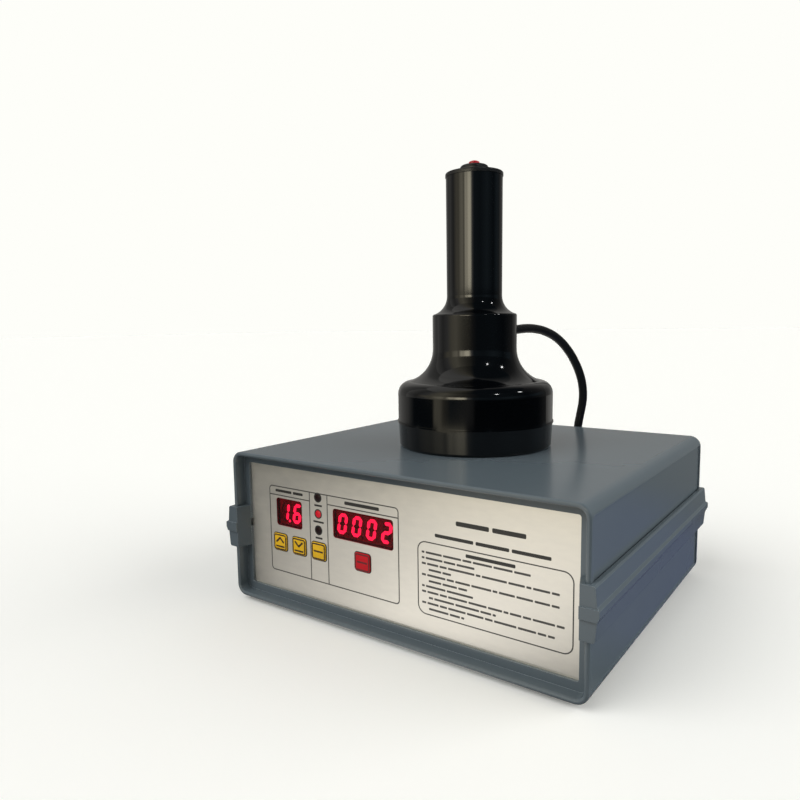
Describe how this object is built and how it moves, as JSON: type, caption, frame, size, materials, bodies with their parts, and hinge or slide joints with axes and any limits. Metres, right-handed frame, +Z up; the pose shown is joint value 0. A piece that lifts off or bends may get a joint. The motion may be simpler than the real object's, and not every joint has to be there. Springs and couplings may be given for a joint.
{
  "type": "induction cap sealer",
  "caption": "Bench induction cap sealer: grey moulded case with a recessed control panel, and a black corded sealing head with a long handle standing on it.",
  "frame": {"origin": "middle of the case's footprint, on the surface that the feet stand on", "axes": "+X to the right and +Y to the back seen from the front panel, +Z up along the head's axis"},
  "size_m": [0.2818, 0.3573, 0.3186],
  "materials": {
    "case_plastic": "satin moulded",
    "plate": "brushed",
    "film": "satin printed",
    "rubber": "matte",
    "steel": "plated",
    "window": "tinted gloss",
    "display": "matte",
    "lamp_dark": "gloss",
    "lamp_lit": "gloss",
    "key_yellow": "satin",
    "key_red": "satin",
    "board": "lacquered",
    "spacer": "plain",
    "sink": "extruded",
    "component": "moulded",
    "capacitor": "sleeved",
    "film_capacitor": "dipped",
    "winding": "enamelled wire",
    "black_plastic": "moulded",
    "rocker": "gloss",
    "head_plastic": "polished",
    "former": "plain",
    "ferrite": "sintered",
    "cap_plastic": "satin",
    "trigger": "gloss",
    "cord": "satin",
    "tie": "woven"
  },
  "bodies": {
    "case": {"bottom_shell": "case_plastic", "top_shell": "case_plastic", "side_strip_left": "case_plastic", "side_strip_right": "case_plastic", "front_panel": "plate", "rear_panel": "plate", "panel_film": "film", "rubber_feet": "rubber", "cord_boot": "rubber", "shell_screws": "steel", "control_screws": "steel", "power_board_screws": "steel", "fan_screws": "steel", "inlet_pins": "steel", "inlet_screws": "steel", "cover_screws": "steel", "trigger_nut": "steel", "count_window": "window", "time_window": "window", "count_display": "display", "time_display": "display", "lamp_high": "lamp_dark", "lamp_low": "lamp_dark", "lamp_middle": "lamp_lit", "control_board": "board", "power_board": "board", "control_spacers": "spacer", "heat_sink": "sink", "key_switches": "component", "power_transistors": "component", "bridge_rectifier": "component", "supply_transformer": "component", "trigger_switch": "component", "filter_capacitors": "capacitor", "resonant_capacitors": "film_capacitor", "line_choke": "winding", "induction_coil": "winding", "fan_frame": "black_plastic", "fan_guard": "black_plastic", "mains_inlet": "black_plastic", "switch_frame": "black_plastic", "cable_gland": "black_plastic", "gland_locknut": "black_plastic", "head_body": "head_plastic", "coil_cover": "head_plastic", "coil_former": "former", "ferrite_bars": "ferrite", "handle_cap": "cap_plastic", "trigger_bezel": "cap_plastic", "head_cord": "cord", "cord_coil": "cord", "cord_tail": "cord", "cord_tie": "tie"},
    "increase_key": {"key_increase": "key_yellow"},
    "reduce_key": {"key_reduce": "key_yellow"},
    "power_key": {"key_power": "key_yellow"},
    "reset_key": {"key_reset": "key_red"},
    "trigger": {"trigger_button": "trigger"},
    "rocker": {"switch_rocker": "rocker"},
    "rotor": {"fan_rotor": "black_plastic"}
  },
  "joints": [
    {"name": "increase_press", "type": "slide", "parent": "case", "child": "increase_key", "axis": [0, 1, 0], "range_m": [0, 0.0007], "stiffness_N_per_m": 1500},
    {"name": "reduce_press", "type": "slide", "parent": "case", "child": "reduce_key", "axis": [0, 1, 0], "range_m": [0, 0.0007], "stiffness_N_per_m": 1500},
    {"name": "power_press", "type": "slide", "parent": "case", "child": "power_key", "axis": [0, 1, 0], "range_m": [0, 0.0007], "stiffness_N_per_m": 1500},
    {"name": "reset_press", "type": "slide", "parent": "case", "child": "reset_key", "axis": [0, 1, 0], "range_m": [0, 0.0007], "stiffness_N_per_m": 1500},
    {"name": "trigger_press", "type": "slide", "parent": "case", "child": "trigger", "axis": [0, 0, -1], "range_m": [0, 0.0025], "stiffness_N_per_m": 1000},
    {"name": "rocker_swing", "type": "hinge", "parent": "case", "child": "rocker", "pos_m": [-0.096, 0.1095, 0.078], "axis": [1, 0, 0], "range_deg": [0, 16]},
    {"name": "rotor_spin", "type": "hinge", "parent": "case", "child": "rotor", "pos_m": [0.072, 0.095, 0.057], "axis": [0, 1, 0], "continuous": true}
  ]
}
